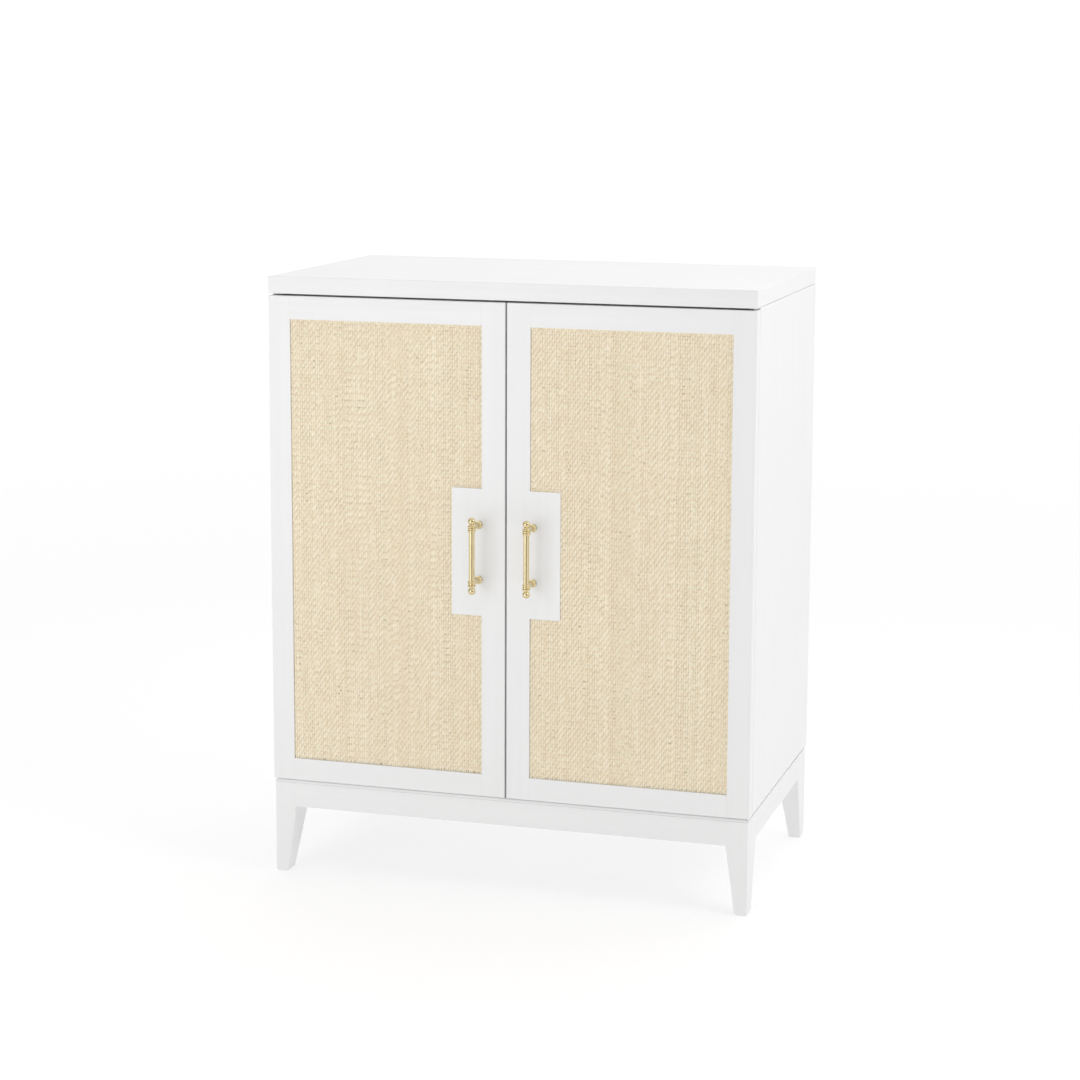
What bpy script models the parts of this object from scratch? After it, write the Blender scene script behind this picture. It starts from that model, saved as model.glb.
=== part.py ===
"""Two-door apothecary cabinet on a base with four tapered legs.

Units are metres. +X is to the right, -Y is the front and +Z is up. The origin is the centre of
the whole cabinet's footprint, pulls included, on the floor.
"""

import math

import bmesh
import bpy
from mathutils import Vector

# Overall size
WIDTH = 0.864
CASE_DEPTH = 0.508
HEIGHT = 1.067

# Pulls
BAR_RADIUS = 0.0050
BAR_STANDOFF = 0.0380
BAR_NECK_RADIUS = 0.0038
BEAD_RADIUS = 0.00725
BEAD_HALF_WIDTH = 0.0018
BEAD_OFFSET = 0.0035
WAIST_RADIUS = 0.0062
BALL_RADIUS = 0.0065
BALL_OFFSET = 0.0125
PULL_CENTRES = 0.096
PULL_FROM_MIDDLE = 0.0485
POST_RADIUS = 0.0036
POST_END_RADIUS = 0.0043
ROSETTE_RADIUS = 0.00725
PULL_SIDES = 16
SADDLE_SIDES = 22
ROSETTE_SHOULDER = 0.86
ROSETTE_FLARE = 0.62

# The cabinet's front and back planes follow from the footprint's centre
DEPTH = CASE_DEPTH + BAR_STANDOFF + BEAD_RADIUS
BACK_Y = DEPTH / 2
DOOR_FRONT_Y = BACK_Y - CASE_DEPTH
HALF_WIDTH = WIDTH / 2

# Fits
FIT = 0.0003
EDGE_ROUND = 0.0012
INNER_EDGE_ROUND = 0.0005
SHARP_ANGLE = math.radians(40)

# Top and case
TOP_THICKNESS = 0.030
SIDE_THICKNESS = 0.020
PANEL_THICKNESS = 0.020
SIDE_BOTTOM_GAP = 0.0018
SIDE_TOP_GAP = 0.0005
CASE_SETBACK = 0.015
BACK_THICKNESS = 0.006
BACK_REBATE = 0.010
SHELF_THICKNESS = 0.018
SHELF_COUNT = 2
SHELF_SETBACK = 0.030
SHELF_SIDE_GAP = 0.0005
PIN_RADIUS = 0.0025
PIN_OUT = 0.009
PIN_IN = 0.008
PIN_INSET = 0.050
PIN_ROW_PITCH = 0.032
PIN_ROWS_BESIDE = 1
PIN_SIDES = 10

# Base
BASE_HEIGHT = 0.165
BASE_INSET = 0.002
APRON_HEIGHT = 0.044
APRON_THICKNESS = 0.030
LEG_WIDTH = 0.039
LEG_DEPTH = 0.064
FOOT_WIDTH = 0.022
FOOT_DEPTH = 0.034
FOOT_CHAMFER = 0.0020
BASE_BOARD_THICKNESS = 0.0049
BASE_BOARD_STEPS = ((0.0, 0.0), (0.38, 0.0), (0.70, 0.20), (0.90, 0.52), (1.0, 1.0))
BASE_BOARD_NOSE = 0.0042

# Doors
DOOR_THICKNESS = 0.022
DOOR_BOTTOM = 0.1712
DOOR_TOP_GAP = 0.0033
DOOR_BACK_GAP = 0.002
MIDDLE_GAP = 0.003
OUTER_STILE = 0.0395
INNER_STILE = 0.0415
OPENING_BOTTOM = 0.2105
OPENING_TOP = 0.993
TAB_WIDTH = 0.054
TAB_BOTTOM = 0.492
TAB_TOP = 0.7137
WEAVE_RECESS = 0.0025
WEAVE_THICKNESS = 0.0020
CORE_RECESS = 0.0010
OPENING_EDGE_SHARE = 0.25

# Pivot hinges
PIVOT_FROM_SIDE = 0.007
PIVOT_FROM_DOOR_BACK = 0.013
LEAF_THICKNESS = 0.0017
LEAF_HALF_WIDTH = 0.0038
LEAF_LENGTH = 0.030
LEAF_TAPER_LENGTH = 0.009
CASE_LEAF_END_RADIUS = 0.0018
DOOR_LEAF_END_RADIUS = 0.0032
PIVOT_PIN_RADIUS = 0.0015
MORTISE_CLEARANCE = 0.00035
HINGE_SIDES = 20

# Pull screws and magnetic catch
SCREW_RADIUS = 0.0019
SCREW_HEAD_RADIUS = 0.0043
SCREW_HEAD_HEIGHT = 0.0017
SCREW_GRIP = 0.0070
SCREW_CROWN_RADIUS = 0.70
SCREW_CROWN_HEIGHT = 0.80
SCREW_BRIM_HEIGHT = 0.30
SCREW_SIDES = 12
HOLE_CLEARANCE = 0.0004
CATCH_SIZE = Vector((0.052, 0.030, 0.014))
STRIKE_RADIUS = 0.0055
STRIKE_THICKNESS = 0.0013
STRIKE_FROM_MIDDLE = 0.0150
STRIKE_SIDES = 16

TOP_UNDERSIDE = HEIGHT - TOP_THICKNESS
DOOR_TOP = TOP_UNDERSIDE - DOOR_TOP_GAP
DOOR_BACK_Y = DOOR_FRONT_Y + DOOR_THICKNESS
CASE_FRONT_Y = DOOR_BACK_Y + DOOR_BACK_GAP
CASE_BOTTOM = BASE_HEIGHT + FIT + BASE_BOARD_THICKNESS
SIDE_BOTTOM = CASE_BOTTOM + SIDE_BOTTOM_GAP
SIDE_TOP = TOP_UNDERSIDE - SIDE_TOP_GAP
INNER_X = HALF_WIDTH - SIDE_THICKNESS
INNER_BACK_Y = BACK_Y - BACK_THICKNESS - FIT
FLOOR_PANEL_TOP = CASE_BOTTOM + FIT + PANEL_THICKNESS
CEILING_PANEL_BOTTOM = TOP_UNDERSIDE - FIT - PANEL_THICKNESS
PULL_Z = (TAB_BOTTOM + TAB_TOP) / 2
PIVOT_X = HALF_WIDTH - PIVOT_FROM_SIDE
PIVOT_Y = DOOR_BACK_Y - PIVOT_FROM_DOOR_BACK
SIDES = (("left", -1), ("right", 1))


# ---------------------------------------------------------------- materials


def make_material(name, colour, roughness, metallic=0.0):
    """A Principled material with one colour, roughness and metallic value."""
    material = bpy.data.materials.new(name)
    material.use_nodes = True
    shader = material.node_tree.nodes["Principled BSDF"]
    shader.inputs["Base Color"].default_value = (*colour, 1.0)
    shader.inputs["Roughness"].default_value = roughness
    shader.inputs["Metallic"].default_value = metallic
    return material


def make_materials():
    """Every finish of the cabinet, by slot name."""
    return {
        "white_lacquer": make_material("white_lacquer", (0.86, 0.86, 0.855), 0.38),
        "woven_straw": make_material("woven_straw", (0.83, 0.70, 0.46), 0.75),
        "brass": make_material("brass", (0.78, 0.62, 0.33), 0.25, 1.0),
        "steel": make_material("steel", (0.62, 0.62, 0.61), 0.35, 1.0),
        "catch_plastic": make_material("catch_plastic", (0.80, 0.80, 0.79), 0.5),
    }


# ---------------------------------------------------------------- modelling helpers


def add_object(name, mesh, material, centre, parent=None):
    """Put a mesh in the scene at a world position, under an optional unrotated parent."""
    obj = bpy.data.objects.new(name, mesh)
    bpy.context.scene.collection.objects.link(obj)
    if material is not None:
        mesh.materials.append(material)
    obj.parent = parent
    origin = parent.location if parent else Vector((0, 0, 0))
    obj.location = Vector(centre) - origin
    return obj


def add_pivot(name, location):
    """An empty that moving pieces hang from, on their joint's axis."""
    empty = bpy.data.objects.new(name, None)
    empty.location = location
    bpy.context.scene.collection.objects.link(empty)
    return empty


def round_edges(obj, width, segments=2):
    """A narrow round along every outer corner of a board."""
    bevel = obj.modifiers.new("edge_round", "BEVEL")
    bevel.width = width
    bevel.segments = segments
    bevel.limit_method = "WEIGHT"


def finish_mesh(bm, name, smooth=False):
    """Turn a bmesh into a mesh with its faces pointing out and its outer corners weighted for a round."""
    bmesh.ops.recalc_face_normals(bm, faces=bm.faces)
    weight = bm.edges.layers.float.new("bevel_weight_edge")
    for edge in bm.edges:
        if edge.calc_face_angle_signed() > SHARP_ANGLE:
            edge[weight] = 1.0
    mesh = bpy.data.meshes.new(name)
    bm.to_mesh(mesh)
    bm.free()
    if smooth:
        mesh.shade_smooth()
        mesh.set_sharp_from_angle(angle=SHARP_ANGLE)
    return mesh


def share_rounds(obj, rule):
    """Scale each corner's round by a rule of the corner's middle point and its direction."""
    offset = obj.location + (obj.parent.location if obj.parent else Vector())
    weights = obj.data.attributes["bevel_weight_edge"].data
    for edge in obj.data.edges:
        start, end = (obj.data.vertices[i].co for i in edge.vertices)
        weights[edge.index].value *= rule((start + end) / 2 + offset, (end - start).normalized())


def along(axis):
    """A rule that keeps only the rounds along one axis, so butted ends stay square."""
    return lambda middle, way: float(abs(way[axis]) > 0.9)


def panel(name, low, high, material, parent=None, edge=EDGE_ROUND, segments=2):
    """A rectangular board between two corners."""
    low, high = Vector(low), Vector(high)
    bm = bmesh.new()
    bmesh.ops.create_cube(bm, size=1.0)
    bmesh.ops.scale(bm, vec=high - low, verts=bm.verts)
    obj = add_object(name, finish_mesh(bm, name), material, (low + high) / 2, parent)
    round_edges(obj, edge, segments)
    return obj


def prism(name, outline, axis, low, high, material, parent=None, edge=EDGE_ROUND, segments=2):
    """An outline of two coordinates, extruded from low to high along "Y" or "Z"."""
    bm = bmesh.new()
    if axis == "Z":
        corners = [bm.verts.new((u, v, low)) for u, v in outline]
        travel = Vector((0, 0, high - low))
    else:
        corners = [bm.verts.new((u, low, v)) for u, v in outline]
        travel = Vector((0, high - low, 0))
    face = bm.faces.new(corners)
    extruded = bmesh.ops.extrude_face_region(bm, geom=[face])["geom"]
    bmesh.ops.translate(bm, vec=travel, verts=[v for v in extruded if isinstance(v, bmesh.types.BMVert)])
    centre = sum((v.co for v in bm.verts), Vector()) / len(bm.verts)
    bmesh.ops.translate(bm, vec=-centre, verts=bm.verts)
    obj = add_object(name, finish_mesh(bm, name), material, centre, parent)
    if edge:
        round_edges(obj, edge, segments)
    return obj


def turned(name, profile, material, centre, parent=None, sides=PULL_SIDES, rotation=(0, 0, 0)):
    """A turned piece. The profile lists (radius, height) from one pole to the other along local Z."""
    bm = bmesh.new()
    points = [bm.verts.new((radius, 0, height)) for radius, height in profile]
    edges = [bm.edges.new(pair) for pair in zip(points, points[1:])]
    bmesh.ops.spin(
        bm, geom=points + edges, axis=(0, 0, 1), cent=(0, 0, 0),
        angle=math.tau, steps=sides, use_merge=True,
    )
    bmesh.ops.remove_doubles(bm, verts=bm.verts, dist=1e-6)
    obj = add_object(name, finish_mesh(bm, name, smooth=True), material, centre, parent)
    obj.rotation_euler = rotation
    return obj


def rod_profile(radius, low, high):
    """Profile of a plain round rod with flat ends."""
    return [(0, low), (radius, low), (radius, high), (0, high)]


def cut(obj, cutter, operation="DIFFERENCE"):
    """Cut a helper solid out of an object, or join it on."""
    cutter.hide_render = True
    cutter.display_type = "WIRE"
    boolean = obj.modifiers.new("cut_" + cutter.name, "BOOLEAN")
    boolean.object = cutter
    boolean.operation = operation
    boolean.solver = "EXACT"


def mirrored(outline, side):
    """An outline drawn for the right-hand side, for either side."""
    return [(side * u, v) for u, v in outline]


def span(side, near, far):
    """The X limits of a stretch that lies near..far from the middle plane."""
    return sorted((side * near, side * far))


# ---------------------------------------------------------------- base


def build_leg(name, side, end, material):
    """A leg with plumb outer faces and two inner faces that taper to the foot."""
    outer_x = side * (HALF_WIDTH - BASE_INSET)
    outer_y = DOOR_FRONT_Y + BASE_INSET if end < 0 else BACK_Y - BASE_INSET
    apron_bottom = BASE_HEIGHT - APRON_HEIGHT
    sections = (
        (0.0, FOOT_WIDTH - FOOT_CHAMFER, FOOT_DEPTH - FOOT_CHAMFER, FOOT_CHAMFER),
        (FOOT_CHAMFER, FOOT_WIDTH, FOOT_DEPTH, 0.0),
        (apron_bottom, LEG_WIDTH, LEG_DEPTH, 0.0),
        (BASE_HEIGHT, LEG_WIDTH, LEG_DEPTH, 0.0),
    )

    def beside_apron(middle, way):
        inner_edge = abs(middle.x - outer_x) > LEG_WIDTH / 2 or abs(middle.y - outer_y) > LEG_DEPTH / 2
        return 0.0 if abs(way.z) > 0.9 and middle.z > apron_bottom and inner_edge else 1.0

    bm = bmesh.new()
    rings = []
    for height, width, depth, inset in sections:
        x_near, x_far = outer_x - side * inset, outer_x - side * width
        y_near, y_far = outer_y - end * inset, outer_y - end * depth
        corners = ((x_near, y_near), (x_far, y_near), (x_far, y_far), (x_near, y_far))
        rings.append([bm.verts.new((x - outer_x, y - outer_y, height)) for x, y in corners])
    bm.faces.new(rings[0])
    bm.faces.new(rings[-1])
    for lower, upper in zip(rings, rings[1:]):
        for i in range(4):
            j = (i + 1) % 4
            bm.faces.new((lower[i], lower[j], upper[j], upper[i]))
    leg = add_object(name, finish_mesh(bm, name), material, (outer_x, outer_y, 0))
    share_rounds(leg, beside_apron)
    round_edges(leg, EDGE_ROUND)


def build_base_board(outer_x, front_y, back_y, material):
    """The thin board on top of the base, nosed all round its edge."""
    bm = bmesh.new()
    rings = []
    for rise, share in BASE_BOARD_STEPS:
        z = BASE_HEIGHT + FIT + rise * BASE_BOARD_THICKNESS
        inset = share * BASE_BOARD_NOSE
        x, y_near, y_far = outer_x - inset, front_y + inset, back_y - inset
        corners = ((-x, y_near), (x, y_near), (x, y_far), (-x, y_far))
        rings.append([bm.verts.new((u, v, z)) for u, v in corners])
    bm.faces.new(rings[0])
    bm.faces.new(rings[-1])
    for lower, upper in zip(rings, rings[1:]):
        for i in range(4):
            j = (i + 1) % 4
            bm.faces.new((lower[i], lower[j], upper[j], upper[i]))
    return add_object("base_board", finish_mesh(bm, "base_board"), material, (0, 0, 0))


def build_base(materials):
    """Four legs, the four aprons between them and the board on top."""
    white = materials["white_lacquer"]
    outer_x = HALF_WIDTH - BASE_INSET
    front_y = DOOR_FRONT_Y + BASE_INSET
    back_y = BACK_Y - BASE_INSET
    bottom, top = BASE_HEIGHT - APRON_HEIGHT, BASE_HEIGHT
    for side_name, side in SIDES:
        for end_name, end in (("front", -1), ("back", 1)):
            build_leg(f"{end_name}_{side_name}_leg", side, end, white)
        x_low, x_high = span(side, outer_x - APRON_THICKNESS, outer_x)
        apron = panel(
            f"{side_name}_apron",
            (x_low, front_y + LEG_DEPTH + FIT, bottom),
            (x_high, back_y - LEG_DEPTH - FIT, top),
            white,
        )
        share_rounds(apron, along(1))
    inner_x = outer_x - LEG_WIDTH - FIT
    for end_name, y_low in (("front", front_y), ("back", back_y - APRON_THICKNESS)):
        apron = panel(
            f"{end_name}_apron", (-inner_x, y_low, bottom), (inner_x, y_low + APRON_THICKNESS, top), white
        )
        share_rounds(apron, along(0))
    return build_base_board(outer_x, front_y, back_y, white)


# ---------------------------------------------------------------- case


def shelf_undersides():
    """Heights of the undersides of the shelves, which split the inside evenly."""
    free = CEILING_PANEL_BOTTOM - FLOOR_PANEL_TOP - SHELF_COUNT * SHELF_THICKNESS
    pitch = free / (SHELF_COUNT + 1) + SHELF_THICKNESS
    return [FLOOR_PANEL_TOP + pitch * (i + 1) - SHELF_THICKNESS for i in range(SHELF_COUNT)]


def pin_places():
    """Y positions of the two columns of shelf pins."""
    front = CASE_FRONT_Y + SHELF_SETBACK + PIN_INSET
    return (("front", front), ("back", INNER_BACK_Y - PIN_INSET))


def build_side(side_name, side, material):
    """A side panel, rebated for the back and drilled for the shelf pins."""
    outline = [
        (INNER_X, CASE_FRONT_Y),
        (HALF_WIDTH, CASE_FRONT_Y),
        (HALF_WIDTH, BACK_Y),
        (HALF_WIDTH - BACK_REBATE, BACK_Y),
        (HALF_WIDTH - BACK_REBATE, INNER_BACK_Y),
        (INNER_X, INNER_BACK_Y),
    ]
    board = prism(
        f"{side_name}_side_panel", mirrored(outline, side), "Z", SIDE_BOTTOM, SIDE_TOP, material
    )
    hole_depth = PIN_IN + HOLE_CLEARANCE
    for shelf, underside in enumerate(shelf_undersides()):
        for column, y in pin_places():
            for row in range(-PIN_ROWS_BESIDE, PIN_ROWS_BESIDE + 1):
                z = underside - FIT - PIN_RADIUS + row * PIN_ROW_PITCH
                drill = turned(
                    f"drill_{side_name}_{shelf}_{column}_{row}",
                    rod_profile(PIN_RADIUS + HOLE_CLEARANCE, -hole_depth, hole_depth),
                    None, (side * INNER_X, y, z), sides=PIN_SIDES, rotation=(0, math.pi / 2, 0),
                )
                cut(board, drill)


def build_shelves(materials):
    """Loose shelves, each on four pins."""
    half = INNER_X - SHELF_SIDE_GAP
    front = CASE_FRONT_Y + SHELF_SETBACK
    for name, underside in zip(("lower", "upper"), shelf_undersides()):
        panel(
            f"{name}_shelf",
            (-half, front, underside),
            (half, INNER_BACK_Y - FIT, underside + SHELF_THICKNESS),
            materials["white_lacquer"], segments=1,
        )
        for side_name, side in SIDES:
            for column, y in pin_places():
                turned(
                    f"{name}_shelf_pin_{column}_{side_name}",
                    rod_profile(PIN_RADIUS, -PIN_OUT, PIN_IN),
                    materials["brass"],
                    (side * INNER_X, y, underside - FIT - PIN_RADIUS),
                    sides=PIN_SIDES, rotation=(0, side * math.pi / 2, 0),
                )


def build_case(materials):
    """The top, the box under it and the shelves inside."""
    white = materials["white_lacquer"]
    slab = panel(
        "top_slab",
        (-HALF_WIDTH, DOOR_FRONT_Y, TOP_UNDERSIDE),
        (HALF_WIDTH, BACK_Y, HEIGHT),
        white, segments=3,
    )
    half = INNER_X - FIT
    for name, low, high in (
        ("case_ceiling_panel", CEILING_PANEL_BOTTOM, TOP_UNDERSIDE - FIT),
        ("case_floor_panel", CASE_BOTTOM + FIT, FLOOR_PANEL_TOP),
    ):
        setback = CASE_SETBACK if name == "case_ceiling_panel" else 0.0
        panel(
            name,
            (-half, CASE_FRONT_Y + setback, low),
            (half, INNER_BACK_Y, high),
            white, edge=INNER_EDGE_ROUND, segments=1,
        )
    back_half = HALF_WIDTH - BACK_REBATE - FIT
    panel(
        "back_panel",
        (-back_half, BACK_Y - BACK_THICKNESS, SIDE_BOTTOM),
        (back_half, BACK_Y, SIDE_TOP),
        white, edge=INNER_EDGE_ROUND, segments=1,
    )
    for side_name, side in SIDES:
        build_side(side_name, side, white)
    build_shelves(materials)
    return slab


# ---------------------------------------------------------------- doors


def door_board_outline(side, margin):
    """Outline of the panel opening, stepped round the tab, shrunk by a margin."""
    inner = MIDDLE_GAP / 2 + INNER_STILE + margin
    stepped = inner + TAB_WIDTH
    outer = HALF_WIDTH - OUTER_STILE - margin
    low, high = OPENING_BOTTOM + margin, OPENING_TOP - margin
    tab_low, tab_high = TAB_BOTTOM - margin, TAB_TOP + margin
    outline = [
        (inner, low), (outer, low), (outer, high), (inner, high),
        (inner, tab_high), (stepped, tab_high), (stepped, tab_low), (inner, tab_low),
    ]
    return mirrored(outline, side)


def build_inner_stile(side_name, side, material, pivot):
    """The stile beside the middle gap, with the tab that carries the pull."""
    near = MIDDLE_GAP / 2
    far = near + INNER_STILE
    outline = [
        (near, DOOR_BOTTOM), (far, DOOR_BOTTOM), (far, TAB_BOTTOM), (far + TAB_WIDTH, TAB_BOTTOM),
        (far + TAB_WIDTH, TAB_TOP), (far, TAB_TOP), (far, DOOR_TOP), (near, DOOR_TOP),
    ]
    stile = prism(
        f"{side_name}_door_inner_stile", mirrored(outline, side), "Y",
        DOOR_FRONT_Y, DOOR_BACK_Y, material, pivot,
    )
    share_rounds(stile, lambda middle, way: OPENING_EDGE_SHARE if abs(middle.x) > far - FIT else 1.0)
    for level, z in pull_post_heights():
        drill = turned(
            f"drill_{side_name}_{level}_pull",
            rod_profile(SCREW_RADIUS + HOLE_CLEARANCE, -DOOR_THICKNESS, DOOR_THICKNESS),
            None, (side * PULL_FROM_MIDDLE, (DOOR_FRONT_Y + DOOR_BACK_Y) / 2, z), pivot,
            sides=SCREW_SIDES, rotation=(math.pi / 2, 0, 0),
        )
        cut(stile, drill)


def build_door(side_name, side, materials):
    """One door: four frame pieces, a core board and the woven panel on it."""
    white = materials["white_lacquer"]
    pivot = add_pivot(f"{side_name}_door_pivot", (side * PIVOT_X, PIVOT_Y, 0))
    build_inner_stile(side_name, side, white, pivot)
    x_low, x_high = span(side, HALF_WIDTH - OUTER_STILE, HALF_WIDTH)
    opening_x = HALF_WIDTH - OUTER_STILE + FIT
    stile = panel(
        f"{side_name}_door_outer_stile",
        (x_low, DOOR_FRONT_Y, DOOR_BOTTOM), (x_high, DOOR_BACK_Y, DOOR_TOP), white, pivot,
    )
    share_rounds(stile, lambda middle, way: OPENING_EDGE_SHARE if abs(middle.x) < opening_x else 1.0)
    rail_near = MIDDLE_GAP / 2 + INNER_STILE + FIT
    rail_far = HALF_WIDTH - OUTER_STILE - FIT
    x_low, x_high = span(side, rail_near, rail_far)
    for level, low, high in (("bottom", DOOR_BOTTOM, OPENING_BOTTOM), ("top", OPENING_TOP, DOOR_TOP)):
        rail = panel(
            f"{side_name}_door_{level}_rail",
            (x_low, DOOR_FRONT_Y, low), (x_high, DOOR_BACK_Y, high), white, pivot,
        )
        opening_z = low if level == "top" else high
        share_rounds(rail, along(0))
        share_rounds(rail, lambda middle, way: OPENING_EDGE_SHARE if middle.z == opening_z else 1.0)
    outline = door_board_outline(side, FIT)
    weave_front = DOOR_FRONT_Y + WEAVE_RECESS
    weave_back = weave_front + WEAVE_THICKNESS
    prism(
        f"{side_name}_door_woven_panel", outline, "Y", weave_front, weave_back,
        materials["woven_straw"], pivot, edge=0,
    )
    prism(
        f"{side_name}_door_core_board", outline, "Y", weave_back + FIT, DOOR_BACK_Y - CORE_RECESS,
        white, pivot, edge=INNER_EDGE_ROUND, segments=1,
    )
    turned(
        f"{side_name}_door_strike_plate",
        rod_profile(STRIKE_RADIUS, FIT, FIT + STRIKE_THICKNESS),
        materials["steel"],
        (side * STRIKE_FROM_MIDDLE, DOOR_BACK_Y, CEILING_PANEL_BOTTOM - FIT - CATCH_SIZE.z / 2),
        pivot, sides=STRIKE_SIDES, rotation=(-math.pi / 2, 0, 0),
    )
    return pivot, stile


# ---------------------------------------------------------------- pulls


def pull_post_heights():
    """Heights of the two posts of a pull."""
    return (("lower", PULL_Z - PULL_CENTRES / 2), ("upper", PULL_Z + PULL_CENTRES / 2))


def bead(middle, base, peak):
    """A half-round ring on a turned profile."""
    steps = 4
    angles = [math.pi * (i / steps - 0.5) for i in range(steps + 1)]
    return [
        (base + (peak - base) * math.cos(angle), middle + BEAD_HALF_WIDTH * math.sin(angle))
        for angle in angles
    ]


def bar_profile():
    """The pull's bar: half of it from its middle to the pole of its ball end, then mirrored."""
    post = PULL_CENTRES / 2
    ball = post + BALL_OFFSET
    half = [(BAR_RADIUS, 0.0)]
    half += bead(post - BEAD_OFFSET, BAR_RADIUS, BEAD_RADIUS)
    half.append((WAIST_RADIUS, post))
    half += bead(post + BEAD_OFFSET, BAR_NECK_RADIUS, BEAD_RADIUS)
    neck = math.acos(BAR_NECK_RADIUS / BALL_RADIUS)
    steps = 6
    for i in range(steps):
        angle = -neck + (math.pi / 2 + neck) * i / steps
        half.append((BALL_RADIUS * math.cos(angle), ball + BALL_RADIUS * math.sin(angle)))
    half.append((0.0, ball + BALL_RADIUS))
    mirror = [(radius, -height) for radius, height in reversed(half[1:])]
    return mirror + half


def post_profile():
    """A post from its rosette on the door to the middle of the bar."""
    rosette_edge, rosette_top, flare_top, taper_start = 0.0016, 0.0028, 0.0085, 0.0240
    return [
        (0, FIT),
        (ROSETTE_RADIUS, FIT),
        (ROSETTE_RADIUS, rosette_edge),
        (ROSETTE_RADIUS * ROSETTE_SHOULDER, rosette_top),
        (ROSETTE_RADIUS * ROSETTE_FLARE, (rosette_top + flare_top) / 2),
        (POST_RADIUS, flare_top),
        (POST_RADIUS, taper_start),
        (POST_END_RADIUS, BAR_STANDOFF - BEAD_RADIUS),
        (POST_END_RADIUS, BAR_STANDOFF),
        (0, BAR_STANDOFF),
    ]


def screw_profile():
    """A pull screw: domed head inside the door, shank through it into the post."""
    tip = DOOR_THICKNESS + FIT + SCREW_GRIP
    return [
        (0, -FIT - SCREW_HEAD_HEIGHT),
        (SCREW_HEAD_RADIUS * SCREW_CROWN_RADIUS, -FIT - SCREW_HEAD_HEIGHT * SCREW_CROWN_HEIGHT),
        (SCREW_HEAD_RADIUS, -FIT - SCREW_HEAD_HEIGHT * SCREW_BRIM_HEIGHT),
        (SCREW_HEAD_RADIUS, -FIT),
        (SCREW_RADIUS, -FIT),
        (SCREW_RADIUS, tip),
        (0, tip),
    ]


def build_pull(side_name, side, materials, pivot):
    """A turned bar with ball ends, on two posts, held by two screws through the door."""
    x = side * PULL_FROM_MIDDLE
    bar_y = DOOR_FRONT_Y - BAR_STANDOFF
    turned(
        f"{side_name}_pull_bar", bar_profile(), materials["brass"], (x, bar_y, PULL_Z), pivot,
    )
    forward = (math.pi / 2, 0, 0)
    bore = SCREW_GRIP + FIT + HOLE_CLEARANCE
    for level, z in pull_post_heights():
        post = turned(
            f"{side_name}_pull_{level}_post", post_profile(), materials["brass"],
            (x, DOOR_FRONT_Y, z), pivot, rotation=forward,
        )
        drill = turned(
            f"drill_{side_name}_{level}_post",
            rod_profile(SCREW_RADIUS + HOLE_CLEARANCE, -bore, bore),
            None, (x, DOOR_FRONT_Y, z), pivot, sides=SCREW_SIDES, rotation=forward,
        )
        saddle = turned(
            f"saddle_{side_name}_{level}",
            rod_profile(BEAD_RADIUS + FIT, -BALL_OFFSET, BALL_OFFSET),
            None, (x, bar_y, z), pivot, sides=SADDLE_SIDES, rotation=(0, 0, math.pi / SADDLE_SIDES),
        )
        cut(post, saddle)
        cut(post, drill)
        turned(
            f"{side_name}_pull_{level}_screw", screw_profile(), materials["steel"],
            (x, DOOR_BACK_Y, z), pivot, sides=SCREW_SIDES, rotation=forward,
        )


# ---------------------------------------------------------------- hinges and catch


def leaf_outline(side, end_radius, margin=0.0):
    """A flat hinge leaf, tapered to a round end about the pivot, grown by a margin."""
    steps = 8
    radius = end_radius + margin
    half_width = LEAF_HALF_WIDTH + margin
    round_end = [
        (
            PIVOT_X + radius * math.cos(math.pi * (i / steps - 0.5)),
            PIVOT_Y + radius * math.sin(math.pi * (i / steps - 0.5)),
        )
        for i in range(steps + 1)
    ]
    shoulder = PIVOT_X - LEAF_TAPER_LENGTH
    inner = PIVOT_X - LEAF_LENGTH - margin
    body = [
        (shoulder, PIVOT_Y + half_width), (inner, PIVOT_Y + half_width),
        (inner, PIVOT_Y - half_width), (shoulder, PIVOT_Y - half_width),
    ]
    return mirrored(round_end + body, side)


def let_in(board, name, side, end_radius, face, depth, parent=None):
    """Cut a leaf's shallow recess into a board, from the board's face down to a signed depth."""
    outline = leaf_outline(side, end_radius, MORTISE_CLEARANCE)
    low, high = sorted((face + depth, face - depth))
    cut(board, prism(f"recess_{name}", outline, "Z", low, high, None, parent, edge=0))


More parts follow.
